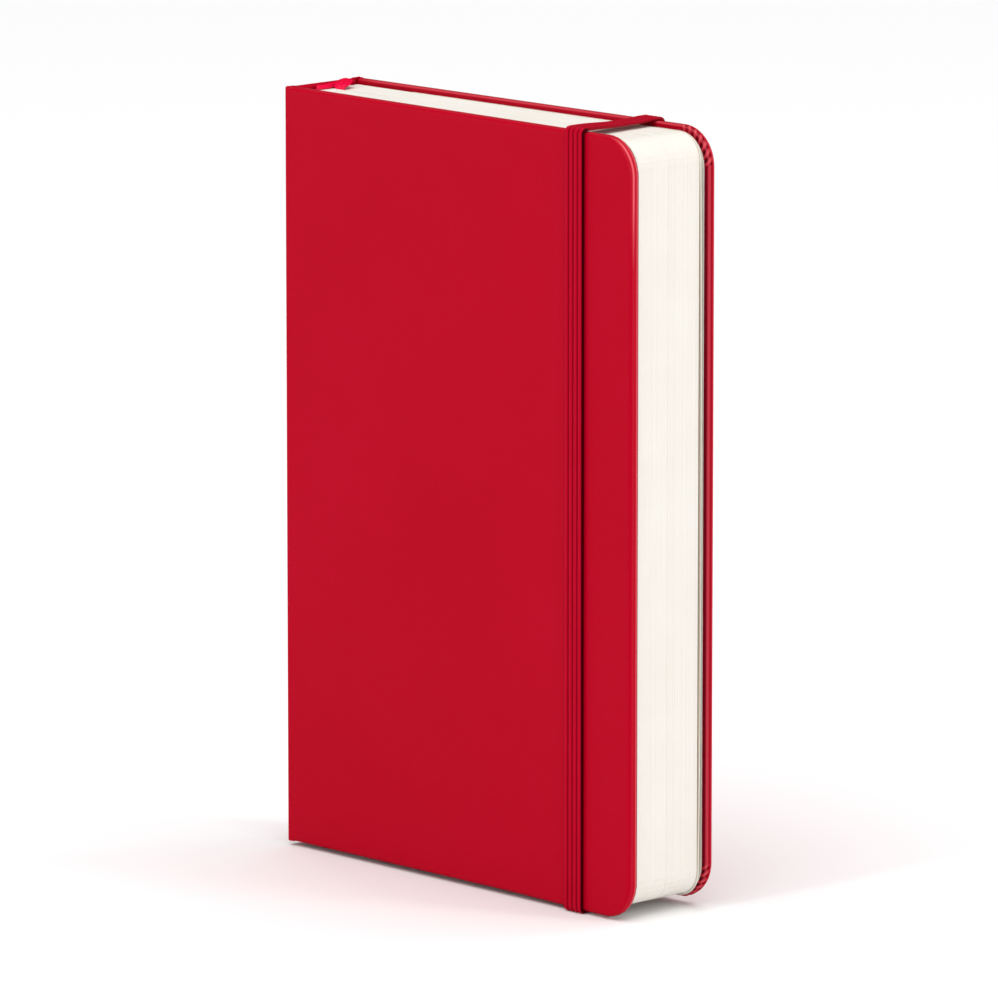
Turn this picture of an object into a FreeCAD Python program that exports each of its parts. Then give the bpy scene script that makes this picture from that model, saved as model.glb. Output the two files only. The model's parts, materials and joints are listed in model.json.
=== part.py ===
"""Pocket notebook with a hard cover, a sewn book block, a ribbon, a back pocket and an elastic band.

The notebook stands on its tail.  +X runs from the spine to the fore-edge, +Y from the front cover to
the back cover and +Z from tail to head.  Lengths are worked out in "book" coordinates, which start at
the outer corner where the spine meets the front cover, level with the covers' tails.  Everything is
then shifted so that the origin is below the middle of the whole notebook.
"""
import FreeCAD, Part
import Sketcher
import math
import os

V = FreeCAD.Vector
doc = FreeCAD.newDocument("PocketNotebook")

# name, millimetres, meaning
SIZES = [
    ("cover_width", 90.0, "spine face to the fore-edge of a cover"),
    ("cover_height", 140.0, "tail to head of a cover"),
    ("cover_radius", 7.0, "rounded corners of the covers at the fore-edge"),
    ("skin_thickness", 0.4, "cover material"),
    ("board_thickness", 1.5, "cover boards"),
    ("paper_thickness", 0.12, "pastedowns, flyleaves and turned-in edges"),
    ("turn_in_width", 2.5, "turned-in edge that shows round a pastedown"),
    ("pivot_inset", 0.2, "hinge line of a cover, in from the spine's outer corner"),
    ("hinge_gap", 0.25, "skin left free on each side of a hinge line"),
    ("joint_width", 1.6, "outer spine face to a cover board"),
    ("spine_board_thickness", 1.0, "stiffener of the spine"),
    ("spine_board_gap", 0.18, "spine stiffener to the inner face of a cover"),
    ("block_start", 2.6, "outer spine face to the folded backs"),
    ("block_fore_margin", 1.0, "covers' fore-edge beyond the leaves"),
    ("block_head_margin", 0.9, "covers beyond the leaves at head and tail"),
    ("block_radius", 4.8, "rounded corners of the leaves"),
    ("signature_thickness", 1.3, "one sewn gathering of sixteen leaves"),
    ("signature_gap", 0.005, "air between two gatherings"),
    ("block_front_gap", 0.23, "front pastedown to the first gathering"),
    ("block_back_gap", 0.73, "last gathering to the back pastedown, at the spine"),
    ("pocket_rise", 2.5, "further out that the pocket holds the back cover, at its fore-edge"),
    ("gutter_width", 4.4, "stiff sewn strip at the folded backs, which doesn't turn"),
    ("flyleaf_gap", 0.05, "air on both sides of a flyleaf"),
    ("flyleaf_start", 2.0, "flyleaf's free part, in from its turning line"),
    ("lining_thickness", 0.15, "gauze glued on the folded backs"),
    ("thread_radius", 0.15, "sewing thread"),
    ("thread_gap", 0.02, "air round the thread"),
    ("ribbon_width", 5.5, "satin marker"),
    ("ribbon_thickness", 0.15, "satin marker, with its selvedge"),
    ("ribbon_slot", 0.25, "space that the marker keeps open between two gatherings"),
    ("ribbon_lift", 0.1, "marker's fold above the head of the leaves"),
    ("ribbon_root", 14.0, "glued end of the marker, down from the head"),
    ("ribbon_tail_gap", 8.0, "end of the marker above the tail of the leaves"),
    ("band_width", 4.4, "elastic band"),
    ("band_thickness", 0.75, "elastic band"),
    ("band_inset", 13.3, "middle of the band, in from the fore-edge"),
    ("band_gap", 0.05, "air between the band and the covers"),
    ("slot_inset", 13.0, "slot of the band, in from head or tail of the back cover"),
    ("slot_clearance", 0.1, "air round the band in its slot"),
    ("band_tail_length", 10.0, "glued end of the band under the back pastedown"),
    ("pocket_start", 16.0, "open edge of the pocket, from the back hinge"),
    ("pocket_margin", 1.0, "pocket, in from the cover's other three edges"),
    ("gusset_width", 8.0, "cloth fold that closes an end of the pocket"),
    ("gusset_thickness", 0.26, "cloth fold, laid flat"),
    ("pocket_panel_thickness", 0.22, "pocket's front, thin card"),
]
MOVING_SIGNATURES = 5
FIXED_SIGNATURES = 5
SEWING_STATIONS = 5
OVERRUN = 1.0  # how far a cut runs past the edge that it opens

sheet = doc.addObject("Spreadsheet::Sheet", "Sizes")
for row, (name, value, meaning) in enumerate(SIZES, start=1):
    sheet.set("A%d" % row, name)
    sheet.set("B%d" % row, str(value))
    sheet.setAlias("B%d" % row, name)
    sheet.set("C%d" % row, meaning)
doc.recompute()


class Size:
    """A length that is an expression of the sheet's cells and knows its value."""

    def __init__(self, text, value):
        self.text = text
        self.value = value

    def __add__(self, other):
        other = as_size(other)
        return Size("(%s + %s)" % (self.text, other.text), self.value + other.value)

    def __sub__(self, other):
        other = as_size(other)
        return Size("(%s - %s)" % (self.text, other.text), self.value - other.value)

    def __mul__(self, other):
        other = as_size(other)
        return Size("(%s * %s)" % (self.text, other.text), self.value * other.value)

    def __truediv__(self, other):
        other = as_size(other)
        return Size("(%s / %s)" % (self.text, other.text), self.value / other.value)

    def __neg__(self):
        return as_size(0) - self


def as_size(number):
    """A plain number as a Size."""
    if isinstance(number, Size):
        return number
    return Size(repr(float(number)), float(number))


def cell(name):
    """The Size held by one cell of the sheet."""
    return Size("Sizes." + name, float(sheet.get(name)))


def bind(item, prop, length):
    """Tie a property to an expression of the sheet."""
    item.setExpression(prop, as_size(length).text)


# --- driving lengths -------------------------------------------------------------------------------
width = cell("cover_width")
height = cell("cover_height")
skin = cell("skin_thickness")
board = cell("board_thickness")
paper = cell("paper_thickness")
pivot = cell("pivot_inset")
radius = cell("cover_radius")
cover = skin + board + paper
rise = cell("pocket_rise") / width
lean = Size("atan(%s)" % rise.text, math.degrees(math.atan(rise.value)))

# --- book block ------------------------------------------------------------------------------------
block_x = cell("block_start")
gutter_x = block_x + cell("gutter_width")
block_end = width - cell("block_fore_margin")
block_z = cell("block_head_margin")
block_height = height - block_z * 2
head = block_z + block_height
signature = cell("signature_thickness")
signature_pitch = signature + cell("signature_gap")
block_y = cover + cell("block_front_gap")
split_y = block_y + signature_pitch * MOVING_SIGNATURES
rear_y = split_y + cell("ribbon_slot")
block_back = rear_y + signature_pitch * FIXED_SIGNATURES
depth = block_back + cell("block_back_gap") + cover

# --- elastic band ----------------------------------------------------------------------------------
band_w = cell("band_width")
band_t = cell("band_thickness")
band_gap = cell("band_gap")
band_out = band_gap + band_t
band_x = width - cell("band_inset") - band_w / 2
band_back = depth + rise * (band_x + band_w) + band_gap
slot_clear = cell("slot_clearance")
slot_top = height - cell("slot_inset")
slot_bottom = cell("slot_inset")

# --- from book coordinates to the notebook's own frame -----------------------------------------------
shift_x = -(width / 2)
shift_y = -((band_back + band_t - band_out) / 2)
shift_z = band_out
hinge_x = shift_x + pivot
back_hinge_y = shift_y + depth - pivot


def finish(item, label):
    """Name a sub-part and list it for export."""
    item.Label = label
    sub_parts.append(item)
    return item


sub_parts = []


def place(item, x, y, z, angle=None):
    """Put an item at a point, turned about the upright axis if an angle is given."""
    item.Placement = FreeCAD.Placement(V(0, 0, 0), FreeCAD.Rotation(V(0, 0, 1), 0))
    if angle is not None:
        item.Placement = FreeCAD.Placement(V(0, 0, 0), FreeCAD.Rotation(V(0, 0, 1), angle.value))
        bind(item, "Placement.Rotation.Angle", angle)
    bind(item, "Placement.Base.x", x)
    bind(item, "Placement.Base.y", y)
    bind(item, "Placement.Base.z", z)


def stand(item):
    """Place an item that is drawn in book coordinates."""
    place(item, shift_x, shift_y, shift_z)


def stand_on_back_hinge(item):
    """Place an item that is drawn from the back hinge line and leans out with the back cover."""
    place(item, hinge_x, back_hinge_y, shift_z, lean)


def plane_of(body, role):
    """The body's own origin plane with this role."""
    return next(plane for plane in body.Origin.OriginFeatures if plane.Role == role)


def outline(body, name, corner, wide, tall, round_by=None):
    """A rectangle in the upright plane of a cover, its two fore-edge corners rounded if asked."""
    sketch = body.newObject("Sketcher::SketchObject", name)
    sketch.AttachmentSupport = [(plane_of(body, "XZ_Plane"), "")]
    sketch.MapMode = "FlatFace"
    x, y, z = corner
    bind(sketch, "AttachmentOffset.Base.x", x)
    bind(sketch, "AttachmentOffset.Base.y", z)
    bind(sketch, "AttachmentOffset.Base.z", -as_size(y))
    w = as_size(wide).value
    t = as_size(tall).value
    r = as_size(round_by).value if round_by is not None else 0.0
    tail_line = sketch.addGeometry(Part.LineSegment(V(0, 0, 0), V(w - r, 0, 0)))
    fore_line = sketch.addGeometry(Part.LineSegment(V(w, r, 0), V(w, t - r, 0)))
    head_line = sketch.addGeometry(Part.LineSegment(V(w - r, t, 0), V(0, t, 0)))
    spine_line = sketch.addGeometry(Part.LineSegment(V(0, t, 0), V(0, 0, 0)))
    sketch_constraint(sketch, "Coincident", tail_line, 1, -1, 1)
    sketch_constraint(sketch, "Coincident", head_line, 2, spine_line, 1)
    sketch_constraint(sketch, "Coincident", spine_line, 2, tail_line, 1)
    sketch_constraint(sketch, "Horizontal", tail_line)
    sketch_constraint(sketch, "Horizontal", head_line)
    sketch_constraint(sketch, "Vertical", fore_line)
    sketch_constraint(sketch, "Vertical", spine_line)
    if round_by is None:
        sketch_constraint(sketch, "Coincident", tail_line, 2, fore_line, 1)
        sketch_constraint(sketch, "Coincident", fore_line, 2, head_line, 1)
    else:
        low = Part.ArcOfCircle(Part.Circle(V(w - r, r, 0), V(0, 0, 1), r), -math.pi / 2, 0)
        high = Part.ArcOfCircle(Part.Circle(V(w - r, t - r, 0), V(0, 0, 1), r), 0, math.pi / 2)
        low_arc = sketch.addGeometry(low)
        high_arc = sketch.addGeometry(high)
        sketch_constraint(sketch, "Tangent", tail_line, 2, low_arc, 1)
        sketch_constraint(sketch, "Tangent", low_arc, 2, fore_line, 1)
        sketch_constraint(sketch, "Tangent", fore_line, 2, high_arc, 1)
        sketch_constraint(sketch, "Tangent", high_arc, 2, head_line, 1)
        sketch_constraint(sketch, "Equal", low_arc, high_arc)
        dimension(sketch, "corner", round_by, "Radius", low_arc, r)
    dimension(sketch, "wide", wide, "DistanceX", -1, 1, fore_line, 1, w)
    dimension(sketch, "tall", tall, "DistanceY", -1, 1, head_line, 1, t)
    return sketch


def sketch_constraint(sketch, kind, *ends):
    """Add one geometric constraint."""
    sketch.addConstraint(Sketcher.Constraint(kind, *ends))


def dimension(sketch, name, length, kind, *ends):
    """Add one named dimension and tie it to the sheet."""
    number = sketch.addConstraint(Sketcher.Constraint(kind, *ends))
    sketch.renameConstraint(number, name)
    bind(sketch, "Constraints." + name, length)


def plate(label, corner, wide, tall, thick, round_by=None):
    """A body that is one upright sheet, padded towards the back cover from its outline."""
    body = doc.addObject("PartDesign::Body", label)
    pad = body.newObject("PartDesign::Pad", label + "_sheet")
    pad.Profile = outline(body, label + "_outline", corner, wide, tall, round_by)
    pad.Reversed = True
    bind(pad, "Length", thick)
    body.Tip = pad
    doc.recompute()
    return finish(body, label)


def recess(body, name, corner, wide, tall, deep, round_by=None):
    """Cut a pocket into a sheet, towards the back cover from its outline, and see that it cuts."""
    before = body.Shape.Volume
    pocket = body.newObject("PartDesign::Pocket", body.Label + "_" + name)
    pocket.Profile = outline(body, body.Label + "_" + name + "_outline", corner, wide, tall, round_by)
    bind(pocket, "Length", deep)
    body.Tip = pocket
    doc.recompute()
    if not body.Shape.Volume < before:
        raise ValueError("recess %s cuts nothing" % pocket.Name)


def box(name, corner, sizes):
    """A block between a corner and its sizes, in book coordinates."""
    block = doc.addObject("Part::Box", name)
    for prop, length in zip(("Length", "Width", "Height"), sizes):
        bind(block, prop, length)
    x, y, z = corner
    place(block, shift_x + x, shift_y + y, shift_z + z)
    return block


def fuse(label, items):
    """Join blocks into one piece."""
    joined = doc.addObject("Part::MultiFuse", label)
    joined.Shapes = items
    return finish(joined, label)


def group(label, items):
    """Several separate solids of the same kind in one node."""
    compound = doc.addObject("Part::Compound", label)
    compound.Links = items
    return finish(compound, label)


# --- covers: skin wrapped round a board, and the pastedown that hides its edges ------------------------


def cover_skin(label, start, far, outer_first, y):
    """The cover material of one cover: a solid cover with a cavity for its board and a window for its
    pastedown.  Both run out at the spine side, where the real material goes on over the joint.
    """
    turn_in = cell("turn_in_width")
    skin_piece = plate(label, (start, y, 0), far - start, height, cover, radius)
    board_y = y + skin if outer_first else y + paper
    window_y = y + skin + board if outer_first else y
    recess(skin_piece, "board", (start - OVERRUN, board_y, skin), far - skin - start + OVERRUN,
           height - skin * 2, board, radius - skin)
    recess(skin_piece, "window", (start - OVERRUN, window_y, turn_in), far - turn_in - start + OVERRUN,
           height - turn_in * 2, paper, radius - turn_in)
    return skin_piece


def front_cover():
    joint = cell("joint_width")
    turn_in = cell("turn_in_width")
    skin_piece = cover_skin("front_skin", pivot + cell("hinge_gap"), width, True, as_size(0))
    board_piece = plate("front_board", (joint, skin, skin), width - joint - skin, height - skin * 2, board,
                        radius - skin)
    pastedown = plate("front_pastedown", (joint, skin + board, turn_in), width - joint - turn_in,
                      height - turn_in * 2, paper, radius - turn_in)
    for body in (skin_piece, board_piece, pastedown):
        stand(body)


# --- back cover, drawn from its hinge line: x along the cover, y outwards ------------------------------
back_far = width - pivot
inner_face = pivot - cover


def back_cover():
    joint = cell("joint_width") - pivot
    turn_in = cell("turn_in_width")
    skin_piece = cover_skin("back_skin", cell("hinge_gap"), back_far, False, inner_face)
    board_piece = plate("back_board", (joint, inner_face + paper, skin), back_far - joint - skin,
                        height - skin * 2, board, radius - skin)
    pastedown = plate("back_pastedown", (joint, inner_face, turn_in), back_far - joint - turn_in,
                      height - turn_in * 2, paper, radius - turn_in)
    for body in (skin_piece, board_piece, pastedown):
        stand_on_back_hinge(body)
    cut_band_slots(skin_piece, board_piece)


slot_w = band_w + slot_clear * 2
slot_t = band_t + slot_clear * 2
slot_x = band_x - pivot - slot_clear


def cut_band_slots(skin_piece, board_piece):
    """The two slots of the band, and the beds in the board that hold its glued ends."""
    through_skin = skin + slot_clear
    bed = cell("band_tail_length") + slot_clear
    for end, z in (("top", slot_top), ("bottom", slot_bottom - slot_t)):
        recess(skin_piece, end + "_slot", (slot_x, pivot - skin, z), slot_w, slot_t, through_skin)
        recess(board_piece, end + "_slot", (slot_x, inner_face + paper, z), slot_w, slot_t, board)
    recess(board_piece, "top_bed", (slot_x, inner_face + paper, slot_top - bed), slot_w, bed, slot_t)
    recess(board_piece, "bottom_bed", (slot_x, inner_face + paper, slot_bottom), slot_w, bed, slot_t)


def band_ends():
    """The ends of the band: through a slot, then flat in a bed under the pastedown."""
    tail = cell("band_tail_length")
    x = slot_x + slot_clear
    y = inner_face + paper
    pass_z = {"top": slot_top + slot_clear, "bottom": slot_bottom - slot_clear - band_t}
    tail_z = {"top": slot_top + slot_clear - tail, "bottom": slot_bottom - slot_clear}
    for end in ("top", "bottom"):
        tab = plate("band_end_" + end, (x, y, tail_z[end]), band_w, tail, band_t)
        neck = tab.newObject("PartDesign::Pad", "band_neck_" + end)
        neck.Profile = outline(tab, "band_neck_%s_outline" % end, (x, y, pass_z[end]), band_w, band_t)
        neck.Reversed = True
        bind(neck, "Length", board + skin)
        tab.Tip = neck
        stand_on_back_hinge(tab)


def pocket():
    """The pocket inside the back cover: a sheet, two cloth gussets and a card front."""
    margin = cell("pocket_margin")
    start = cell("pocket_start")
    wide = back_far - margin - start
    tall = height - margin * 2
    corner = radius - margin
    back = plate("pocket_back", (start, inner_face - paper, margin), wide, tall, paper, corner)
    stand_on_back_hinge(back)
    gusset = cell("gusset_width")
    flat = cell("gusset_thickness")
    gusset_wide = wide - corner
    for end, z in (("top", height - margin - gusset), ("bottom", margin)):
        fold = plate("pocket_gusset_" + end, (start, inner_face - paper - flat, z), gusset_wide, gusset, flat)
        stand_on_back_hinge(fold)
    card = cell("pocket_panel_thickness")
    front = plate("pocket_panel", (start, inner_face - paper - flat - card, margin), wide, tall, card, corner)
    stand_on_back_hinge(front)


# --- spine ---------------------------------------------------------------------------------------------


def spine():
    free = pivot + cell("hinge_gap")
    skin_piece = box("spine_skin", (0, free, 0), (skin, depth - free * 2, height))
    finish(skin_piece, "spine_skin")
    inset = cover + cell("spine_board_gap")
    stiffener = cell("spine_board_thickness")
    board_piece = box("spine_board", (skin, inset, skin), (stiffener, depth - inset * 2, height - skin * 2))
    finish(board_piece, "spine_board")
    lining = cell("lining_thickness")
    lining_x = block_x - cell("thread_gap") * 2 - cell("thread_radius") * 2 - lining
    lining_piece = box("spine_lining", (lining_x, block_y, block_z + cell("ribbon_root")),
                       (lining, block_back - block_y, block_height - cell("ribbon_root") * 2))
    finish(lining_piece, "spine_lining")


def threads():
    """Linked stitches that run across the folded backs, one row at each sewing station."""
    rows = []
    reach = block_height - cell("ribbon_root") * 2
    for station in range(SEWING_STATIONS):
        row = doc.addObject("Part::Cylinder", "stitch_row_%d" % (station + 1))
        bind(row, "Radius", cell("thread_radius"))
        bind(row, "Height", block_back - block_y)
        z = block_z + cell("ribbon_root") + reach * ((station + 0.5) / SEWING_STATIONS)
        row.Placement = FreeCAD.Placement(V(0, 0, 0), FreeCAD.Rotation(V(1, 0, 0), -90))
        bind(row, "Placement.Base.x", shift_x + block_x - cell("thread_gap") - cell("thread_radius"))
        bind(row, "Placement.Base.y", shift_y + block_y)
        bind(row, "Placement.Base.z", shift_z + z)
        rows.append(row)
    group("sewing_thread", rows)


# --- leaves --------------------------------------------------------------------------------------------


def sewn_folds():
    """The stiff folded backs of the gatherings whose leaves turn."""
    folds = []
    for number in range(MOVING_SIGNATURES):
        y = block_y + signature_pitch * number
        folds.append(box("fold_%02d" % (number + 1), (block_x, y, block_z),
                         (cell("gutter_width"), signature, block_height)))
    group("sewn_folds", folds)


def signatures():
    """The gatherings: turning ones start beside the sewn strip, the rear ones at the spine."""
    corner = cell("block_radius")
    for number in range(MOVING_SIGNATURES):
        y = block_y + signature_pitch * number
        leaf = plate("signature_%02d" % (number + 1), (gutter_x, y, block_z), block_end - gutter_x,
                     block_height, signature, corner)
        stand(leaf)
    for number in range(FIXED_SIGNATURES):
        y = rear_y + signature_pitch * number
        leaf = plate("signature_%02d" % (MOVING_SIGNATURES + number + 1), (block_x, y, block_z),
                     block_end - block_x, block_height, signature, corner)
        stand(leaf)


def flyleaves():
    """The free halves of the two endpapers, one next to each cover."""
    corner = cell("block_radius")
    start = gutter_x + cell("flyleaf_start")
    gap = cell("flyleaf_gap")
    for label, y in (("front_flyleaf", cover + gap), ("back_flyleaf", block_back + gap)):
        leaf = plate(label, (start, y, block_z), block_end - start, block_height, paper, corner)
        stand(leaf)


def ribbon():
    """The marker: glued in the hollow of the spine, folded over the head and laid between the leaves."""
    flat = cell("ribbon_thickness")
    wide = cell("ribbon_width")
    x = skin + cell("spine_board_thickness") + cell("ribbon_lift")
    inside_y = split_y + (cell("ribbon_slot") - flat) / 2
    over_z = head + cell("ribbon_lift")
    root = box("ribbon_root", (x, inside_y, over_z + flat - cell("ribbon_root")),
               (flat, wide, cell("ribbon_root")))
    over = box("ribbon_over", (x, inside_y, over_z), (gutter_x - x, wide, flat))
    low_z = block_z + cell("ribbon_tail_gap")
    inside = box("ribbon_inside", (block_x, inside_y, low_z), (wide, flat, over_z + flat - low_z))
    fuse("ribbon_marker", [root, over, inside])


# --- elastic band ----------------------------------------------------------------------------------------


def elastic_band():
    """The band in use: down the front cover, over head and tail, and down to its slots at the back."""
    low = -band_out
    tall = height + band_out * 2
    across = band_back + band_t + band_out
    run = cell("slot_inset") + band_out - slot_clear
    front = box("band_front", (band_x, low, low), (band_w, band_t, tall))
    over = box("band_head", (band_x, low, height + band_gap), (band_w, across, band_t))
    under = box("band_tail", (band_x, low, low), (band_w, across, band_t))
    back_top = box("band_back_top", (band_x, band_back, height + band_out - run), (band_w, band_t, run))
    back_bottom = box("band_back_bottom", (band_x, band_back, low), (band_w, band_t, run))
    fuse("elastic_band", [front, over, under, back_top, back_bottom])


def check(items):
    """Stop if any object failed or a sub-part has no sound shape."""
    for item in doc.Objects:
        if "Invalid" in item.State or "Error" in item.State:
            raise ValueError("%s failed: %s" % (item.Name, item.State))
    for item in items:
        if item.Shape.isNull() or not item.Shape.isValid():
            raise ValueError("%s has no sound shape" % item.Label)


front_cover()
back_cover()
band_ends()
pocket()
spine()
threads()
sewn_folds()
signatures()
flyleaves()
ribbon()
elastic_band()
doc.recompute()
check(sub_parts)

os.makedirs("parts", exist_ok=True)
for piece in sub_parts:
    piece.Shape.exportStep("parts/%s.step" % piece.Label)

whole = Part.makeCompound([piece.Shape for piece in sub_parts]).BoundBox
print("%d sub-parts" % len(sub_parts))
print("x %.3f to %.3f" % (whole.XMin, whole.XMax))
print("y %.3f to %.3f" % (whole.YMin, whole.YMax))
print("z %.3f to %.3f" % (whole.ZMin, whole.ZMax))
print("front hinge (%.4f, %.4f)" % (hinge_x.value, shift_y.value + pivot.value))
print("back hinge (%.4f, %.4f), leaning out %.4f degrees" % (hinge_x.value, back_hinge_y.value, lean.value))
print("leaves turn about (%.4f, %.4f)" % (shift_x.value + gutter_x.value, shift_y.value + block_y.value))
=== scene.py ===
# %% [markdown]
# # A pocket notebook in a hard crimson cover
# This lesson dresses a small sewn notebook that stands on its tail.  The mechanical model is already
# there as a frame: every board, leaf gathering and hinge has its place.  We build the looks round it:
# the cover material with its turned-in edges, the leaves one by one, a ribbed elastic band, a satin
# marker and the papers inside.  Lengths are written in millimetres from the outer corner where the
# spine meets the front cover, level with the covers' tails: x towards the fore-edge, y towards the
# back cover, z up.

# %% Load the frame
import bmesh
import bpy
import json
import math
import numpy as np
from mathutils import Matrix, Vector


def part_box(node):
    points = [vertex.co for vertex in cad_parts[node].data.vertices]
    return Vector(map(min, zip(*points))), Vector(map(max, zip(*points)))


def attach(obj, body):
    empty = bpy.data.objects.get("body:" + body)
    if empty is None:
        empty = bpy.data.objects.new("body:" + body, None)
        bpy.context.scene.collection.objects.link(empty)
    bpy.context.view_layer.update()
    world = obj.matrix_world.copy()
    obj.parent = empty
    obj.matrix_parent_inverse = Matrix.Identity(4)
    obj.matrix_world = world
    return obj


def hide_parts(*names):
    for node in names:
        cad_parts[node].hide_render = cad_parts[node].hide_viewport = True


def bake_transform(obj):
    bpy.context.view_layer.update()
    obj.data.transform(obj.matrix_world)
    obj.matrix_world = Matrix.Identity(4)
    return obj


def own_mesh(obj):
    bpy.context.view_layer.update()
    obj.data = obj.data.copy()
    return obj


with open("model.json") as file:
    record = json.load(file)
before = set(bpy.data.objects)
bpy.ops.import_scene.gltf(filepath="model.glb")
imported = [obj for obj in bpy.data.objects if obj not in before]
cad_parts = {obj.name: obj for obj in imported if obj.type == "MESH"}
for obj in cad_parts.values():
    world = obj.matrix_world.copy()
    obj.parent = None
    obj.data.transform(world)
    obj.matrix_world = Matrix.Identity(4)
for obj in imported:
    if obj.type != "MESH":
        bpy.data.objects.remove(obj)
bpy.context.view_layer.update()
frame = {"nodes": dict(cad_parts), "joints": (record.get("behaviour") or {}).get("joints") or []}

# %% [markdown]
# ## Measures
# Nothing is measured twice.  The widths, depths and turning lines come from the frame, so a change in
# the mechanical model moves the looks with it.  Only what a bookbinder would choose by eye, such as
# how round a turned edge is, gets a value of its own further down.

# %% Read the notebook's measures from the frame
MM = 0.001
front_low, front_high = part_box("front_skin")
spine_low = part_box("spine_skin")[0]
CORNER = Vector((spine_low.x, front_low.y, spine_low.z))
joints = {joint["name"]: joint for joint in frame["joints"]}


def to_book(point):
    """A point of the frame, in metres, as millimetres from the notebook's corner."""
    return (Vector(point) - CORNER) / MM


def to_frame(x, y, z):
    """The way back: millimetres from the corner to metres in the frame."""
    return CORNER + Vector((x, y, z)) * MM


def span(node):
    """Lowest and highest corner of a part of the frame, in millimetres from the corner."""
    low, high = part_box(node)
    return to_book(low), to_book(high)


WIDTH = to_book(front_high).x
HEIGHT = to_book(front_high).z
COVER = to_book(front_high).y
BACK_PIVOT = to_book(joints["back_cover_hinge"]["pos_m"])
FRONT_PIVOT = to_book(joints["front_cover_hinge"]["pos_m"])
LEAF_PIVOT = to_book(joints["front_leaves_turn"]["pos_m"])
DEPTH = BACK_PIVOT.y + FRONT_PIVOT.y
PAPER = span("front_pastedown")[1].y - span("front_pastedown")[0].y
paste_low, paste_high = span("back_pastedown")
LEAN = math.atan2(paste_high.y - paste_low.y - PAPER, paste_high.x - paste_low.x)
print("cover %.1f x %.1f mm, %.2f mm thick; spine %.2f mm deep; back cover leans %.2f degrees"
      % (WIDTH, HEIGHT, COVER, DEPTH, math.degrees(LEAN)))


# %% [markdown]
# ## Small tools
# Most pieces are grids of points pushed into shape, so two helpers are enough: one turns rows of
# points into faces, and one turns millimetres into a finished object whose place is in its mesh.

# %% Mesh helpers
def grid_faces(rows, columns, first=0, close_columns=False):
    """Quads between neighbouring points of a grid that is stored row by row."""
    faces = []
    for row in range(rows - 1):
        for column in range(columns if close_columns else columns - 1):
            beside = (column + 1) % columns
            here = first + row * columns
            above = here + columns
            faces.append((here + column, here + beside, above + beside, above + column))
    return faces


def make_piece(name, points, faces, smooth=True):
    """An object at the origin from points in millimetres."""
    points = np.asarray(points, float).reshape(-1, 3) * MM + np.array(CORNER)
    mesh = bpy.data.meshes.new(name)
    mesh.from_pydata(points.tolist(), [], faces)
    mesh.validate()
    if smooth:
        mesh.shade_smooth()
    else:
        mesh.shade_flat()
    piece = bpy.data.objects.new(name, mesh)
    bpy.context.scene.collection.objects.link(piece)
    return piece


def weld(piece, gap=0.002):
    """Merge points that lie within a gap, in millimetres, and point the faces outwards."""
    work = bmesh.new()
    work.from_mesh(piece.data)
    bmesh.ops.remove_doubles(work, verts=work.verts, dist=gap * MM)
    bmesh.ops.dissolve_degenerate(work, edges=work.edges, dist=gap * MM * 0.5)
    bmesh.ops.recalc_face_normals(work, faces=work.faces)
    work.to_mesh(piece.data)
    work.free()


def thicken(piece, thickness, inwards=True):
    """Give a sheet its real thickness and keep the result as a plain mesh."""
    wall = piece.modifiers.new("thickness", "SOLIDIFY")
    wall.thickness = thickness * MM
    wall.offset = -1.0 if inwards else 0.0
    settle(piece)


def settle(piece):
    """Turn a piece with its modifiers into a plain mesh."""
    graph = bpy.context.evaluated_depsgraph_get()
    mesh = bpy.data.meshes.new_from_object(piece.evaluated_get(graph))
    piece.modifiers.clear()
    piece.data = mesh


def ease(value, low, high):
    """0 below low, 1 above high and a smooth step between."""
    share = np.clip((np.asarray(value, float) - low) / (high - low), 0, 1)
    return share * share * (3 - 2 * share)


# %% [markdown]
# ## Finishes
# A finish is made of what light meets.  The cover is a coated paper with a very fine grain, so its
# gloss breaks up a little; paper is matt with faint fibres; satin shines along its threads.  Effects
# that several finishes share are node groups with named inputs, which give out a value or a normal,
# and each material mixes them with its own numbers.

# %% Node tools
def plug(tree, value, socket):
    """Feed an input from another node's socket, or set it to a number or a colour triple."""
    if hasattr(value, "is_output"):
        tree.links.new(value, socket)
    elif socket.type == "RGBA":
        socket.default_value = (*value, 1.0)
    else:
        socket.default_value = value


def feed(tree, node, values):
    """Fill several inputs of a node, given by label or number."""
    for label, value in values.items():
        plug(tree, value, node.inputs[label])


def add_node(tree, kind, values, **settings):
    """A new node with its settings and inputs; the result is its first output."""
    node = tree.nodes.new(kind)
    for setting, value in settings.items():
        setattr(node, setting, value)
    feed(tree, node, values)
    return node.outputs[0]


def new_group(name, inputs, outputs):
    """A shader node group: inputs with their usual numbers (None stands for a vector) and outputs."""
    group = bpy.data.node_groups.new(name, "ShaderNodeTree")
    for label, value in inputs.items():
        kind = "NodeSocketVector" if value is None else "NodeSocketFloat"
        socket = group.interface.new_socket(label, in_out="INPUT", socket_type=kind)
        if value is not None:
            socket.default_value = value
    for label in outputs:
        group.interface.new_socket(label, in_out="OUTPUT", socket_type="NodeSocketFloat")
    return group, group.nodes.new("NodeGroupInput").outputs, group.nodes.new("NodeGroupOutput")


def maths(tree, operation, first, second=None):
    """A Math node whose inputs are sockets or numbers."""
    values = {0: first} if second is None else {0: first, 1: second}
    return add_node(tree, "ShaderNodeMath", values, operation=operation)


def noise(tree, vector, scale, detail=3.0, roughness=0.5):
    """A noise value on a vector; the scale is a number or a socket."""
    values = {"Vector": vector, "Scale": scale, "Detail": detail, "Roughness": roughness}
    return add_node(tree, "ShaderNodeTexNoise", values)


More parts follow.
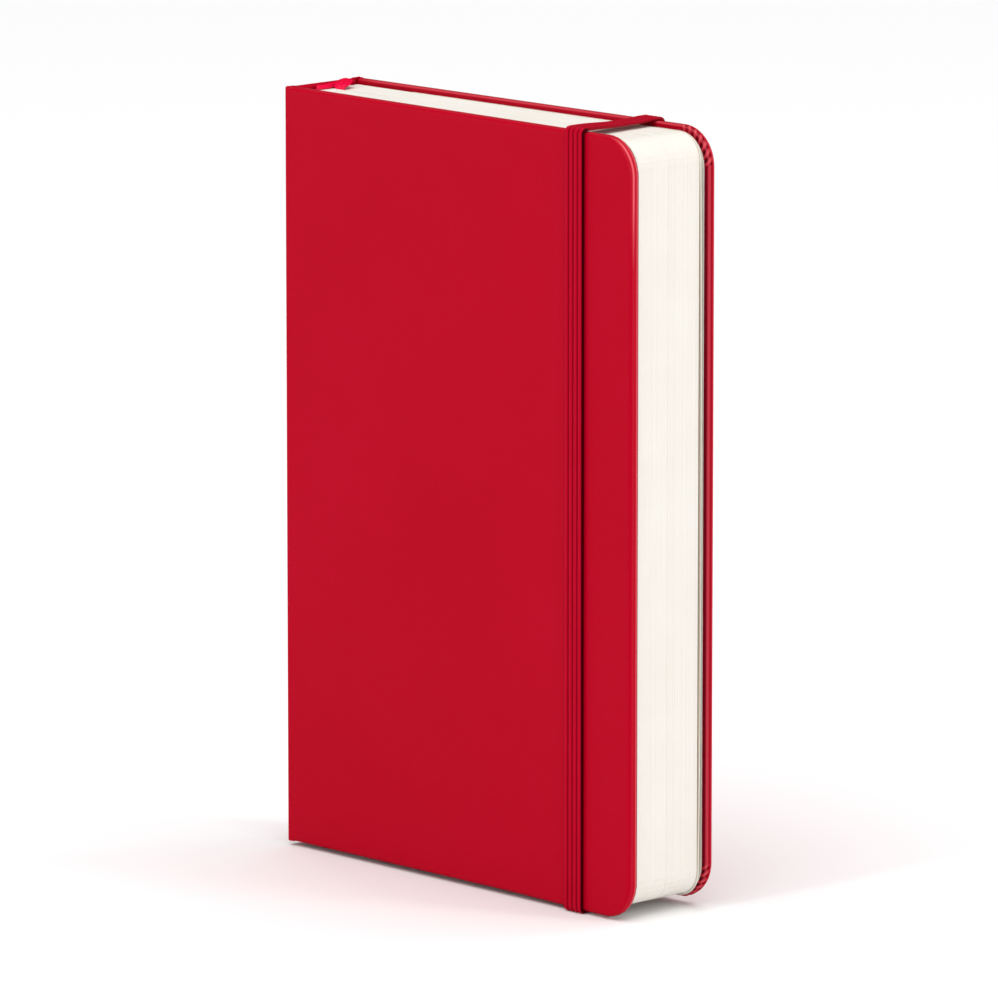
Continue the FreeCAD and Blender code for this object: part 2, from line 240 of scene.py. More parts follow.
def remap(tree, value, low, high, to_low, to_high):
    """A value stretched from one range to another."""
    labels = ("Value", "From Min", "From Max", "To Min", "To Max")
    return add_node(tree, "ShaderNodeMapRange", dict(zip(labels, (value, low, high, to_low, to_high))))


def mix_colour(tree, factor, first, second):
    """Two colours mixed by a value; each colour is a socket or a triple."""
    node = tree.nodes.new("ShaderNodeMix")
    node.data_type = "RGBA"
    plug(tree, factor, node.inputs["Factor"])
    for label, item in (("A", first), ("B", second)):
        plug(tree, item, next(s for s in node.inputs if s.name == label and s.type == "RGBA"))
    return next(s for s in node.outputs if s.type == "RGBA")


def split(tree, vector):
    """The X, Y and Z of a vector."""
    node = tree.nodes.new("ShaderNodeSeparateXYZ")
    plug(tree, vector, node.inputs[0])
    return node.outputs


# %% [markdown]
# ### Grain, fibres and weave
# Three groups do most of the work.  *Fine grain* gives the pebbled skin of coated paper, *paper
# fibres* a soft mottling, and *plain weave* the over-and-under of threads.  All three read Object
# coordinates, in metres, so a scale of 2000 means a pattern about half a millimetre wide.

# %% Shared effects
PEBBLE_SCALE = 2600.0      # grains of the cover's coating, about 0.4 mm wide


def build_grain():
    """Pebbled grain of a coated cover: a height and a slow variation of tone."""
    group, start, end = new_group(
        "fine grain", {"Vector": None, "Pebbles": PEBBLE_SCALE, "Clouds": 28.0}, ("Height", "Tone"))
    cells = add_node(group, "ShaderNodeTexVoronoi", {"Vector": start["Vector"], "Scale": start["Pebbles"]},
                     feature="SMOOTH_F1")
    fine = noise(group, start["Vector"], maths(group, "MULTIPLY", start["Pebbles"], 0.4))
    height = maths(group, "ADD", maths(group, "MULTIPLY", cells, 0.6), fine)
    clouds = noise(group, start["Vector"], start["Clouds"], 4.0, 0.6)
    feed(group, end, {"Height": height, "Tone": remap(group, clouds, 0.2, 0.8, 0.0, 1.0)})
    return group


def build_fibres():
    """Fibres of uncoated paper: a fine height and a faint mottling."""
    group, start, end = new_group("paper fibres", {"Vector": None, "Scale": 900.0}, ("Height", "Mottle"))
    height = noise(group, start["Vector"], start["Scale"], 6.0, 0.7)
    mottle = noise(group, start["Vector"], maths(group, "MULTIPLY", start["Scale"], 0.07), 5.0, 0.6)
    feed(group, end, {"Height": height, "Mottle": remap(group, mottle, 0.3, 0.7, 0.0, 1.0)})
    return group


def build_weave():
    """Over-and-under threads along two directions: a height and a mask of the gaps."""
    group, start, end = new_group("plain weave", {"Along": 0.0, "Across": 0.0}, ("Height", "Gaps"))
    along = maths(group, "SINE", start["Along"])
    across = maths(group, "SINE", start["Across"])
    product = maths(group, "MULTIPLY", along, across)
    height = maths(group, "ADD", maths(group, "MULTIPLY", product, 0.5), 0.5)
    gaps = remap(group, maths(group, "ABSOLUTE", product), 0.0, 0.3, 1.0, 0.0)
    feed(group, end, {"Height": height, "Gaps": gaps})
    return group


GRAIN = build_grain()
FIBRES = build_fibres()
WEAVE = build_weave()
print("shared effects:", [group.name for group in (GRAIN, FIBRES, WEAVE)])


# %% Material tools
def new_material(name):
    """A material with its Principled shader and Object coordinates."""
    material = bpy.data.materials.new(name)
    material.use_nodes = True
    tree = material.node_tree
    shader = tree.nodes["Principled BSDF"]
    place = tree.nodes.new("ShaderNodeTexCoord").outputs["Object"]
    return material, tree, shader, place


def use_group(tree, group, **values):
    """Place a node group, with sockets or numbers for its inputs; the result is its outputs."""
    node = tree.nodes.new("ShaderNodeGroup")
    node.node_tree = group
    feed(tree, node, values)
    return node.outputs


def add_bump(tree, shader, height, strength, distance=0.02):
    """Let a height move the normal; the distance is in millimetres."""
    values = {"Strength": strength, "Distance": distance * MM, "Height": height}
    feed(tree, shader, {"Normal": add_node(tree, "ShaderNodeBump", values)})


def stored_value(tree, name):
    """Factor output of a value kept on the mesh's own points."""
    node = tree.nodes.new("ShaderNodeAttribute")
    node.attribute_name = name
    return node.outputs["Fac"]


# %% The cover material and the papers
RED_SHINE = (1.0, 0.10, 0.18)      # tint of what the crimson surfaces reflect
# Painted highlight colour and painted shade colour of the folded edges.
HIGHLIGHT_RED = (0.90, 0.16, 0.19)
SHADED_RED = (0.055, 0.0, 0.006)


def leatherette():
    """Smooth crimson coating with a fine grain and a soft gloss, with painted highlight and painted shade
    along its folded edges.
    """
    material, tree, shader, place = new_material("crimson leatherette")
    grain = use_group(tree, GRAIN, Vector=place, Pebbles=PEBBLE_SCALE, Clouds=22.0)
    body = mix_colour(tree, grain["Tone"], (0.455, 0.0, 0.0115), (0.490, 0.0, 0.0165))
    # Paler where the sheet keeps a painted highlight, nearly black where it keeps painted shade.
    colour = mix_colour(tree, stored_value(tree, "painted_highlight"), body, HIGHLIGHT_RED)
    colour = mix_colour(tree, stored_value(tree, "shaded"), colour, SHADED_RED)
    feed(tree, shader, {"Base Color": colour, "Roughness": remap(tree, grain["Tone"], 0.0, 1.0, 0.30, 0.36),
                        "Specular IOR Level": 0.16, "Specular Tint": RED_SHINE,
                        "Coat Weight": 0.05, "Coat Roughness": 0.10})
    add_bump(tree, shader, grain["Height"], 0.10)
    return material


def paper(name, light, dark, fibre_scale, strength):
    """Uncoated paper in two close tones."""
    material, tree, shader, place = new_material(name)
    fibres = use_group(tree, FIBRES, Vector=place, Scale=fibre_scale)
    feed(tree, shader, {"Base Color": mix_colour(tree, fibres["Mottle"], light, dark),
                        "Roughness": remap(tree, fibres["Height"], 0.3, 0.7, 0.72, 0.86),
                        "Specular IOR Level": 0.25})
    add_bump(tree, shader, fibres["Height"], strength)
    return material


LEATHERETTE = leatherette()
LEAF_PAPER = paper("ivory leaf paper", (0.865, 0.83, 0.775), (0.84, 0.80, 0.735), 900.0, 0.15)
FLY_PAPER = paper("buff flyleaf paper", (0.66, 0.56, 0.43), (0.61, 0.51, 0.39), 700.0, 0.2)
ENDPAPER = paper("ivory endpaper", (0.86, 0.84, 0.75), (0.82, 0.79, 0.69), 600.0, 0.25)
BOARD = paper("grey pulp board", (0.42, 0.39, 0.34), (0.33, 0.30, 0.26), 350.0, 0.6)


# %% [markdown]
# ### Threads, elastic and satin
# The elastic is warp-knitted round rubber cores: fine stitches run across each rib.  The satin marker
# has long floats, so it shines along its length.  Both patterns follow the strip, so they read a UV
# map in millimetres that the pieces carry.

# %% The textiles
RIB_PITCH = 2.2            # one wave over two ribs of the elastic, in millimetres
STITCH_PITCH = 0.42        # stitches along the elastic, in millimetres
# Painted shade in the valleys between the ribs and in the gaps between stitches.
GROOVE_SHADE_RED = (0.20, 0.0, 0.005)


def strip_coordinates(tree, pitch_along, pitch_across):
    """Two phases, along and across a strip, from its UV map in millimetres."""
    parts = split(tree, add_node(tree, "ShaderNodeUVMap", {}, uv_map="strip"))
    return (maths(tree, "MULTIPLY", parts["Y"], 2 * math.pi / pitch_along),
            maths(tree, "MULTIPLY", parts["X"], 2 * math.pi / pitch_across))


def elastic():
    """Crimson elastic: bright ribs with fine cross stitches, painted shade in the valleys and on the sides.
    """
    material, tree, shader, place = new_material("crimson elastic")
    along, across = strip_coordinates(tree, STITCH_PITCH, RIB_PITCH)
    weave = use_group(tree, WEAVE, Along=along, Across=maths(tree, "MULTIPLY", across, 4.0))
    rib = maths(tree, "ABSOLUTE", maths(tree, "SINE", across))
    crest = mix_colour(tree, noise(tree, place, 300.0, 3.0), (0.45, 0.0, 0.014), (0.54, 0.0, 0.022))
    # Painted shade: the valleys between the ribs are darkened.
    body = mix_colour(tree, remap(tree, rib, 0.10, 0.70, 0.0, 1.0), GROOVE_SHADE_RED, crest)
    # Painted shade on the band's sides: nearly black where the band lies in front of the front cover, dark
    # red elsewhere.
    aside = maths(tree, "DIVIDE", across, 2 * math.pi / RIB_PITCH)
    left = remap(tree, aside, 0.06, 0.14, 1.0, 0.0)
    right = remap(tree, aside, 4.26, 4.34, 0.0, 1.0)
    level = split(tree, place)["Y"]
    front_run_shade = remap(tree, level, CORNER.y + 0.3 * MM, CORNER.y + 1.5 * MM, 1.0, 0.0)
    side_shade = mix_colour(tree, front_run_shade, (0.34, 0.0, 0.010), (0.030, 0.0, 0.002))
    body = mix_colour(tree, maths(tree, "MAXIMUM", left, right), body, side_shade)
    shade = maths(tree, "MULTIPLY", weave["Gaps"], 0.15)
    feed(tree, shader, {"Base Color": mix_colour(tree, shade, body, GROOVE_SHADE_RED), "Roughness": 0.5,
                        "Specular IOR Level": 0.15, "Specular Tint": RED_SHINE})
    add_bump(tree, shader, weave["Height"], 0.2)
    return material


def satin():
    """Bright red satin: long floats that run with the strip."""
    material, tree, shader, place = new_material("red satin ribbon")
    along, across = strip_coordinates(tree, 1.1, 0.16)
    weave = use_group(tree, WEAVE, Along=along, Across=across)
    colour = mix_colour(tree, noise(tree, place, 500.0, 2.0), (0.80, 0.0, 0.040), (0.93, 0.0, 0.075))
    feed(tree, shader, {"Base Color": colour, "Roughness": 0.28, "Anisotropic": 0.5,
                        "Specular IOR Level": 0.35, "Specular Tint": (1.0, 0.35, 0.50)})
    add_bump(tree, shader, weave["Height"], 0.25)
    return material


def cloth(name, light, dark, pitch):
    """Thin book cloth or gauze, woven along Z and across X and Y."""
    material, tree, shader, place = new_material(name)
    parts = split(tree, place)
    level = maths(tree, "ADD", parts["X"], parts["Y"])
    turns = 2 * math.pi / (pitch * MM)
    weave = use_group(tree, WEAVE, Along=maths(tree, "MULTIPLY", parts["Z"], turns),
                      Across=maths(tree, "MULTIPLY", level, turns))
    shade = maths(tree, "MULTIPLY", weave["Gaps"], 0.7)
    feed(tree, shader, {"Base Color": mix_colour(tree, shade, light, dark), "Roughness": 0.85})
    add_bump(tree, shader, weave["Height"], 0.5, 0.05)
    return material


ELASTIC = elastic()
SATIN = satin()
BOOK_CLOTH = cloth("ivory book cloth", (0.80, 0.77, 0.68), (0.55, 0.51, 0.42), 0.30)
THREAD = cloth("waxed thread", (0.84, 0.82, 0.76), (0.60, 0.57, 0.50), 0.22)
print("finishes:", len(bpy.data.materials))

# %% [markdown]
# ## The cover material
# A hard cover is one sheet glued over two boards and a spine stiffener, folded in over every edge.
# The easiest way to draw it is flat: along the sheet runs *u*, from the middle of the spine, round the
# corner and on to the fore-edge, and *z* is the height.  Rings of points follow the outline of the
# cover; each ring lies a little further round the folded edge.  Only at the end is the flat sheet bent
# round the corner of the spine.  The two halves meet in the middle of the spine.

# %% Values of the folded edge
TAIL_SAG = {"front": -0.40, "back": 0.45}    # the tail corners are not cut quite square
CORNER_RADIUS = 7.0        # rounded corners of the covers
EDGE_ROUND = 0.85          # outer edge, where the sheet goes over the board
INNER_ROUND = 0.72         # the same on the inside
SPINE_WALL = 1.64          # spine stiffener with its sheet
JOINT_WALL = 0.46          # sheet alone, between the stiffener and a board
SPINE_BEND = 0.34          # corner between spine and cover
SPINE_SWELL = 0.14         # how far the spine bulges beyond the boards' edges
TURN_IN = 4.2              # folded-in margin, partly under the pastedown
PLEATS = 7                 # folds gathered in each rounded corner
PLEAT_HEIGHT = {"front": 0.04, "back": 0.36}   # the front corners were smoothed harder
PLEAT_SLANT = 0.45         # share of a fold by which it shifts over one millimetre of depth
PLEAT_MIDDLE = 0.72        # level between valley and ridge that keeps the corner's place
SKIN = 0.22                # thickness of the sheet
SHARP_FROM = math.radians(65)      # steeper edges, such as the cut in mid-spine, aren't smoothed over

straight = DEPTH / 2 - SPINE_BEND
bend_length = SPINE_BEND * math.pi / 2
board_low = span("front_board")[0].x
stiffener_low = span("spine_board")[0].y


def along_sheet(x):
    """Distance along the sheet from the middle of the spine to a point x of the cover."""
    return straight + bend_length + x - SPINE_BEND


SHEET_END = along_sheet(WIDTH)


def wall(u):
    """How far the folded edge reaches inwards: stiffener, bare sheet at the joint, or board."""
    spine_part = 1 - ease(u, DEPTH / 2 - stiffener_low - 0.1, DEPTH / 2 - stiffener_low + 0.5)
    board_part = ease(u, along_sheet(board_low - 0.5), along_sheet(board_low + 0.1))
    return JOINT_WALL + (SPINE_WALL - JOINT_WALL) * spine_part + (COVER - 0.03 - JOINT_WALL) * board_part


# %% Points along the outline and across the sheet
ARC_STEPS = PLEATS * 12
sheet_u = np.concatenate([
    np.linspace(0, straight - 2.2, 5), np.linspace(straight - 1.9, straight - 0.1, 13),
    straight + np.linspace(0, bend_length, 9), along_sheet(np.linspace(0.62, 2.4, 13)),
    along_sheet(np.array([2.8, 3.6, 5.0, 7.5])), along_sheet(np.linspace(11, WIDTH - CORNER_RADIUS, 14))])
sheet_z = np.linspace(CORNER_RADIUS, HEIGHT - CORNER_RADIUS, 24)


def outline():
    """Points of the cover's edge with the directions that point inwards, and the angle in a corner."""
    points = [(u, 0.0, 0.0, 1.0, -1.0) for u in sheet_u]
    for centre_z, turn in ((CORNER_RADIUS, -90.0), (HEIGHT - CORNER_RADIUS, 0.0)):
        for step in range(1, ARC_STEPS):
            share = step / ARC_STEPS
            angle = math.radians(turn + 90.0 * share)
            across, up = math.cos(angle), math.sin(angle)
            points.append((SHEET_END - CORNER_RADIUS + CORNER_RADIUS * across,
                           centre_z + CORNER_RADIUS * up, -across, -up, share))
        if turn < 0:
            points += [(SHEET_END, z, -1.0, 0.0, -1.0) for z in sheet_z]
    points += [(u, HEIGHT, 0.0, -1.0, -1.0) for u in sheet_u[::-1]]
    return np.array(points)


def edge_profile(reach):
    """Rings round the folded edge: inset, depth, how the surface faces there, and travel.

    Travel counts 0 to 1 over the outer round, to 2 over the edge and to 3 over the inner round."""
    outer = np.minimum(EDGE_ROUND, reach * 0.5)
    inner = np.minimum(INNER_ROUND, reach * 0.45)
    flat = np.zeros_like(reach)
    rings = [(flat + inset, flat, 0.0, -1.0, 0.0) for inset in (CORNER_RADIUS, 4.5, 2.4, 1.3)]
    for angle in np.radians(np.linspace(0, 90, 11)):
        rings.append((outer * (1 - math.sin(angle)), outer * (1 - math.cos(angle)),
                      -math.sin(angle), -math.cos(angle), angle / (math.pi / 2)))
    for share in (0.3, 0.6, 0.85):
        rings.append((flat, outer + (reach - inner - outer) * share, -1.0, 0.0, 1.0 + share))
    for angle in np.radians(np.linspace(0, 90, 9)):
        rings.append((inner * (1 - math.cos(angle)), reach - inner * (1 - math.sin(angle)),
                      -math.cos(angle), math.sin(angle), 2 + angle / (math.pi / 2)))
    for inset, sink in ((0.9, 0.0), (1.1, 0.0), (1.6, 0.0), (2.3, 0.02), (2.6, 0.10), (3.4, 0.12)):
        rings.append((flat + inset, reach - sink, 0.0, 1.0, 2.5 + inset))
    rings.append((flat + TURN_IN, reach - 0.12, 0.0, 1.0, 9.0))
    return rings


def pleat(share, inset, depth):
    """Gathered folds in a rounded corner, slanted like cloth pushed aside: -0.7 valley to 0.3 ridge."""
    inside = ease(depth, 0.75, 1.25) * (1 - ease(inset, 0.8, 1.1))
    phase = share * PLEATS + PLEAT_SLANT * (depth + inset)
    ridge = 1 - np.abs(2 * (phase - np.floor(phase)) - 1) ** 1.8
    in_corner = ease(share, 0.0, 0.06) * (1 - ease(share, 0.94, 1.0)) * (share > 0)
    return (ridge - PLEAT_MIDDLE) * inside * in_corner


# %% [markdown]
# ### Painted highlight and painted shade on the folded edges
# The folded edge carries painted light.  A painted highlight lies on its outer round, strongest at the
# head corner, near its inner round and on the ridges of the corner folds.  Painted shade lies inside the
# fold and in the folds' valleys.  Both are numbers from 0 to 1 that every point of the sheet keeps, and
# the cover's finish reads them.

# %% Painted highlight and painted shade along the fold
# Painted highlight by travel round the fold: on the outer round and near the inner round.
HIGHLIGHT_OUTSIDE = {"front": ((0.0, 0.52, 0.69, 0.84, 1.0), (0.0, 0.06, 1.0, 0.20, 0.0)),
                  "back": ((0.0, 0.25, 0.55, 0.78, 1.0), (0.0, 0.45, 1.0, 0.90, 0.0))}
HIGHLIGHT_INSIDE = {"front": ((1.5, 1.85, 2.05, 2.2), (0.0, 0.62, 0.62, 0.0)),
                 "back": ((2.05, 2.20, 2.50, 2.7), (0.0, 0.30, 0.30, 0.0))}
# Painted shade by travel: inside the fold. On the back cover there is also a groove on the edge face.
SHADED = {"front": ((2.1, 2.3, 3.2, 4.2), (0.0, 0.85, 0.60, 0.0)),
          "back": ((1.1, 1.5, 1.9, 2.1, 2.5, 2.8, 3.2, 4.2), (0.0, 0.45, 0.45, 0.10, 0.15, 0.82, 0.75, 0.0))}
# Strength of the outer painted highlight: everywhere, and added at the head corner.
HIGHLIGHT_LEVELS = {"front": (0.08, 0.92), "back": (0.36, 0.10)}     # everywhere, and added at the head corner
HEAD_SHADE = {"front": 0.85, "back": 0.2}      # shade along head and tail, beside 1 at the fore-edge
# Painted highlight on the ridges of the corner folds and painted shade in their valleys.
RIDGE_HIGHLIGHT = 0.9
VALLEY_SHADE = 0.55


def edge_tones(side, travel, u, z, fold):
    """Painted highlight and painted shade on the sheet: each between 0 and 1."""
    head_corner = ease(z, HEIGHT - 24, HEIGHT - 9) * ease(u, SHEET_END - 5.5, SHEET_END - 2)
    everywhere, added = HIGHLIGHT_LEVELS[side]
    away_from_spine = ease(u, straight, straight + 8)
    painted_highlight = np.interp(travel, *HIGHLIGHT_OUTSIDE[side]) * (everywhere + added * head_corner)
    painted_highlight = painted_highlight + np.interp(travel, *HIGHLIGHT_INSIDE[side])
    folded = PLEAT_HEIGHT[side] / PLEAT_HEIGHT["back"]
    painted_highlight = painted_highlight + RIDGE_HIGHLIGHT * folded * np.maximum(fold, 0)
    fore_edge = ease(u, SHEET_END - 7, SHEET_END - 1)
    shaded = np.interp(travel, *SHADED[side]) * (HEAD_SHADE[side] + (1 - HEAD_SHADE[side]) * fore_edge)
    shaded = shaded * (1 - np.clip(3 * folded * np.maximum(fold, 0), 0, 0.8))
    shaded = shaded - VALLEY_SHADE * folded * np.minimum(fold, 0)
    return np.clip(painted_highlight * away_from_spine, 0, 1), np.clip(shaded * away_from_spine, 0, 1)


def store_values(piece, name, values):
    """Keep one number per point on the mesh, for the material to read."""
    layer = piece.data.attributes.new(name, "FLOAT", "POINT")
    layer.data.foreach_set("value", np.asarray(values, dtype=np.float32))


# %% Bend the flat sheet round the spine
def wrap(u, z, depth, back):
    """The flat sheet bent round the spine's corner; the back half is mirrored and leans out."""
    angle = np.clip((u - straight) / SPINE_BEND, 0, math.pi / 2)
    on_cover = np.maximum(u - straight - bend_length, 0)
    on_spine = np.maximum(straight - u, 0)
    bulge = SPINE_SWELL * (1 - ease(u, straight, straight + bend_length + 1.0))
    x = SPINE_BEND - SPINE_BEND * np.cos(angle) + on_cover + depth * np.cos(angle) - bulge
    y = SPINE_BEND - SPINE_BEND * np.sin(angle) + on_spine + depth * np.sin(angle)
    z = z + TAIL_SAG["back" if back else "front"] * ease(x, 55, 87) * (1 - ease(z, 0, 60))
    if back:
        y = DEPTH - y
        x, y = lean_out(x, y)
    return np.stack([x, y, z], -1)


def lean_out(x, y):
    """Turn points about the back hinge line by the back cover's lean, gently over the joint."""
    angle = LEAN * ease(x, 0.2, 1.6)
    dx, dy = x - BACK_PIVOT.x, y - BACK_PIVOT.y
    return (BACK_PIVOT.x + dx * np.cos(angle) - dy * np.sin(angle),
            BACK_PIVOT.y + dx * np.sin(angle) + dy * np.cos(angle))


def cover_sheet(name, back):
    """One half of the cover material as a thin closed shell."""
    u, z, inward_u, inward_z, share = outline().T
    side = "back" if back else "front"
    points, painted_highlight, shaded = [], [], []
    for inset, depth, faces_in, faces_down, travel in edge_profile(wall(u)):
        fold = pleat(share, inset, depth)
        tones = edge_tones(side, travel, u, z, fold)
        painted_highlight.append(tones[0])
        shaded.append(tones[1])
        inset = inset + PLEAT_HEIGHT[side] * fold * faces_in
        depth = depth + PLEAT_HEIGHT[side] * fold * faces_down
        points.append(wrap(u + inset * inward_u, z + inset * inward_z, depth, back))
    rings = len(points)
    faces = grid_faces(rings, len(u))
    middle_u, middle_z = np.meshgrid(sheet_u, sheet_z)
    points.append(wrap(middle_u.ravel(), middle_z.ravel(), np.zeros(middle_u.size), back))
    faces += grid_faces(len(sheet_z), len(sheet_u), first=rings * len(u))
    piece = make_piece(name, np.concatenate(points), faces)
    plain = np.zeros(middle_u.size)
    # Store the painted highlight and the painted shade, one value per point.
    store_values(piece, "painted_highlight", np.concatenate(painted_highlight + [plain]))
    store_values(piece, "shaded", np.concatenate(shaded + [plain]))
    weld(piece)
    face_outwards(piece, back)
    thicken(piece, SKIN)
    piece.data.set_sharp_from_angle(angle=SHARP_FROM)
    piece.data.materials.append(LEATHERETTE)
    return piece


def face_outwards(piece, back):
    """Turn an open sheet's faces so that the cover's large flat side looks away from the leaves."""
    largest = max(piece.data.polygons, key=lambda face: face.area)
    outward = Vector((0, 1 if back else -1, 0))
    if largest.normal.dot(outward) < 0:
        piece.data.flip_normals()


front_case = cover_sheet("front_cover_sheet", back=False)
back_case = cover_sheet("back_cover_sheet", back=True)
print("cover sheets:", len(front_case.data.polygons), "faces each")

# %% Keep the halves' places in their meshes
def bend_at_hinge(piece):
    """Keep the piece's place in its own mesh."""
    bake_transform(piece)


bend_at_hinge(front_case)
bend_at_hinge(back_case)
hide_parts("front_skin", "spine_skin")
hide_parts("back_skin")

# %% [markdown]
# ## The leaves
# One hundred and sixty leaves make the block, sixteen to a gathering.  A leaf is a very thin closed
# plate with two rounded corners.  Geometry Nodes put copies of it one behind the other with tiny
# seeded shifts, because no block is cut perfectly flush.  Afterwards the stack gets its character:
# the folded backs of each gathering are rounded, and the leaves open up a little to the fore-edge,
# where nothing holds them together.

# %% Values of the block
signature_low, signature_high = span("signature_01")
last_low, last_high = span("signature_10")
BLOCK_X = last_low.x
BLOCK_END = signature_high.x
BLOCK_Y = signature_low.y
SIGNATURE = signature_high.y - signature_low.y
SIGNATURE_PITCH = span("signature_02")[0].y - signature_low.y
LEAVES_PER_SIGNATURE = 16
LEAF_PITCH = SIGNATURE / LEAVES_PER_SIGNATURE
LEAF_THICKNESS = LEAF_PITCH * 0.98
TAIL_TRIM = 0.5            # the tail is trimmed a little shorter than the head
LEAF_CORNER = 4.8
SWELL = 0.147              # share by which the loose fore-edge is thicker than the sewn side
GUTTER = LEAF_PIVOT.x


def swell(x):
    """How much thicker than at the sewn side the block is at x."""
    share = np.clip((x - GUTTER) / (BLOCK_END - GUTTER), 0, 1)
    return SWELL * share * (1 + 0.15 * np.sin(math.pi * share))


def leaf_outline():
    """Columns of a leaf: x with the lowest and highest z, close together where the leaf bends."""
    near = np.array([BLOCK_X, BLOCK_X + 0.5, BLOCK_X + 1.8, GUTTER])
    bend = GUTTER + np.linspace(1.4, 11.2, 8)
    far = np.array([30.0, 48.0, 66.0, BLOCK_END - LEAF_CORNER])
    angles = np.radians(np.linspace(13, 90, 7))
    arc = BLOCK_END - LEAF_CORNER * (1 - np.sin(angles))
    rise = LEAF_CORNER * (1 - np.cos(angles))
    columns = np.concatenate([near, bend, far, arc])
    inset = np.concatenate([np.zeros(len(columns) - len(arc)), rise])
    return columns, signature_low.z + TAIL_TRIM + inset, signature_high.z - inset


def one_leaf(name):
    """One leaf at the front of the block."""
    x, low, high = leaf_outline()
    ring = np.concatenate([np.stack([x, low], -1), np.stack([x, high], -1)[::-1]])
    count = len(ring)
    half = count // 2
    points = [(px, y, pz) for y in (BLOCK_Y, BLOCK_Y + LEAF_THICKNESS) for px, pz in ring]
    faces = []
    for index in range(half - 1):
        other = count - 1 - index
        faces.append((index, index + 1, other - 1, other))
        faces.append((count + index, count + other, count + other - 1, count + index + 1))
    faces += [(i, count + i, count + (i + 1) % count, (i + 1) % count) for i in range(count)]
    return make_piece(name, points, faces, smooth=False)


# %% Build the stack with Geometry Nodes
def stack_tree():
    """Copies of a sheet in a row along Y with small seeded shifts."""
    tree = bpy.data.node_groups.new("stack of leaves", "GeometryNodeTree")
    for label, kind in (("Sheet", "Geometry"), ("Count", "Int"), ("Pitch", "Float"), ("Shift", "Vector"),
                        ("Seed", "Int"), ("Finish", "Material")):
        tree.interface.new_socket(label, in_out="INPUT", socket_type="NodeSocket" + kind)
    tree.interface.new_socket("Stack", in_out="OUTPUT", socket_type="NodeSocketGeometry")
    start = tree.nodes.new("NodeGroupInput").outputs
    end = tree.nodes.new("NodeGroupOutput")
    step = add_node(tree, "ShaderNodeCombineXYZ", {"Y": start["Pitch"]})
    row = add_node(tree, "GeometryNodeMeshLine", {"Count": start["Count"], "Offset": step})
    copies = add_node(tree, "GeometryNodeInstanceOnPoints", {"Points": row, "Instance": start["Sheet"]})
    low = add_node(tree, "ShaderNodeVectorMath", {0: start["Shift"], "Scale": -1.0}, operation="SCALE")
    limits = {"Min": low, "Max": start["Shift"], "Seed": start["Seed"]}
    chance = add_node(tree, "FunctionNodeRandomValue", limits, data_type="FLOAT_VECTOR")
    shifted = add_node(tree, "GeometryNodeTranslateInstances", {"Instances": copies, "Translation": chance})
    real = add_node(tree, "GeometryNodeRealizeInstances", {"Geometry": shifted})
    painted = add_node(tree, "GeometryNodeSetMaterial", {"Geometry": real, "Material": start["Finish"]})
    feed(tree, end, {"Stack": painted})
    return tree


STACK = stack_tree()


def stack_up(leaf, count, pitch, shift, seed, finish):
    """Turn one leaf into its whole stack, as a plain mesh."""
    modifier = leaf.modifiers.new("stack", "NODES")
    modifier.node_group = STACK
    values = {"Count": count, "Pitch": pitch * MM, "Shift": tuple(value * MM for value in shift),
              "Seed": seed, "Finish": finish}
    for item in STACK.interface.items_tree:
        if item.name in values:
            modifier[item.identifier] = values[item.name]
    settle(leaf)


# %% Shape the two parts of the block
def edit_points(piece, change):
    """Let a function of points, in millimetres, move every point of a mesh."""
    flat = np.empty(len(piece.data.vertices) * 3)
    piece.data.vertices.foreach_get("co", flat)
    points = (flat.reshape(-1, 3) - np.array(CORNER)) / MM
    points = change(points) * MM + np.array(CORNER)
    piece.data.vertices.foreach_set("co", points.ravel())
    piece.data.update()


def shape_leaves(start_y, count):
    """Round the folded backs, close the gap for the marker and swell the fore-edge of a run."""
    middle = (span("signature_05")[1].y + span("signature_06")[0].y) / 2
    end_y = start_y + count * SIGNATURE_PITCH

    def change(points):
        x, y, z = points.T
        place = (y - start_y) / SIGNATURE_PITCH
        within = np.clip((place - np.floor(place)) * SIGNATURE_PITCH / SIGNATURE, 0.02, 0.98)
        fold = (SIGNATURE / 2) * (1 - np.sqrt(1 - (2 * within - 1) ** 2))
        near_back = 1 - ease(x, BLOCK_X, BLOCK_X + 2.0)
        x = x + fold * near_back
        closed = ease(x, 11.0, 24.0) * 0.9
        if start_y < middle:
            y = y + closed * (middle - end_y) * (y - start_y) / (end_y - start_y)
        else:
            y = y - closed * (start_y - middle) * (end_y - y) / (end_y - start_y)
        y = BLOCK_Y + (y - BLOCK_Y) * (1 + swell(x))
        return np.stack([x, y, z], -1)
    return change


LEAF_SHIFT = (0.012, 0.0, 0.012)   # how far a leaf may lie from flush, in millimetres


def leaves_piece(name, count, start_y, seed):
    """A run of gatherings as separate leaves."""
    piece = one_leaf(name)
    lift = start_y - BLOCK_Y
    edit_points(piece, lambda points: points + np.array([0.0, lift, 0.0]))
    stack_up(piece, count * LEAVES_PER_SIGNATURE, SIGNATURE_PITCH / LEAVES_PER_SIGNATURE, LEAF_SHIFT, seed,
             LEAF_PAPER)
    edit_points(piece, shape_leaves(start_y, count))
    return piece


front_names = ["signature_%02d" % number for number in range(1, 6)]
rear_names = ["signature_%02d" % number for number in range(6, 11)]
REAR_Y = span("signature_06")[0].y
front_leaves = leaves_piece("front_leaf_stack", len(front_names), BLOCK_Y, 7)
rear_leaves = leaves_piece("rear_leaf_stack", len(rear_names), REAR_Y, 21)
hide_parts("sewn_folds", *front_names)
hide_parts(*rear_names)
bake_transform(front_leaves)
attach(rear_leaves, "book_block")
print("leaves:", len(front_names + rear_names) * LEAVES_PER_SIGNATURE)

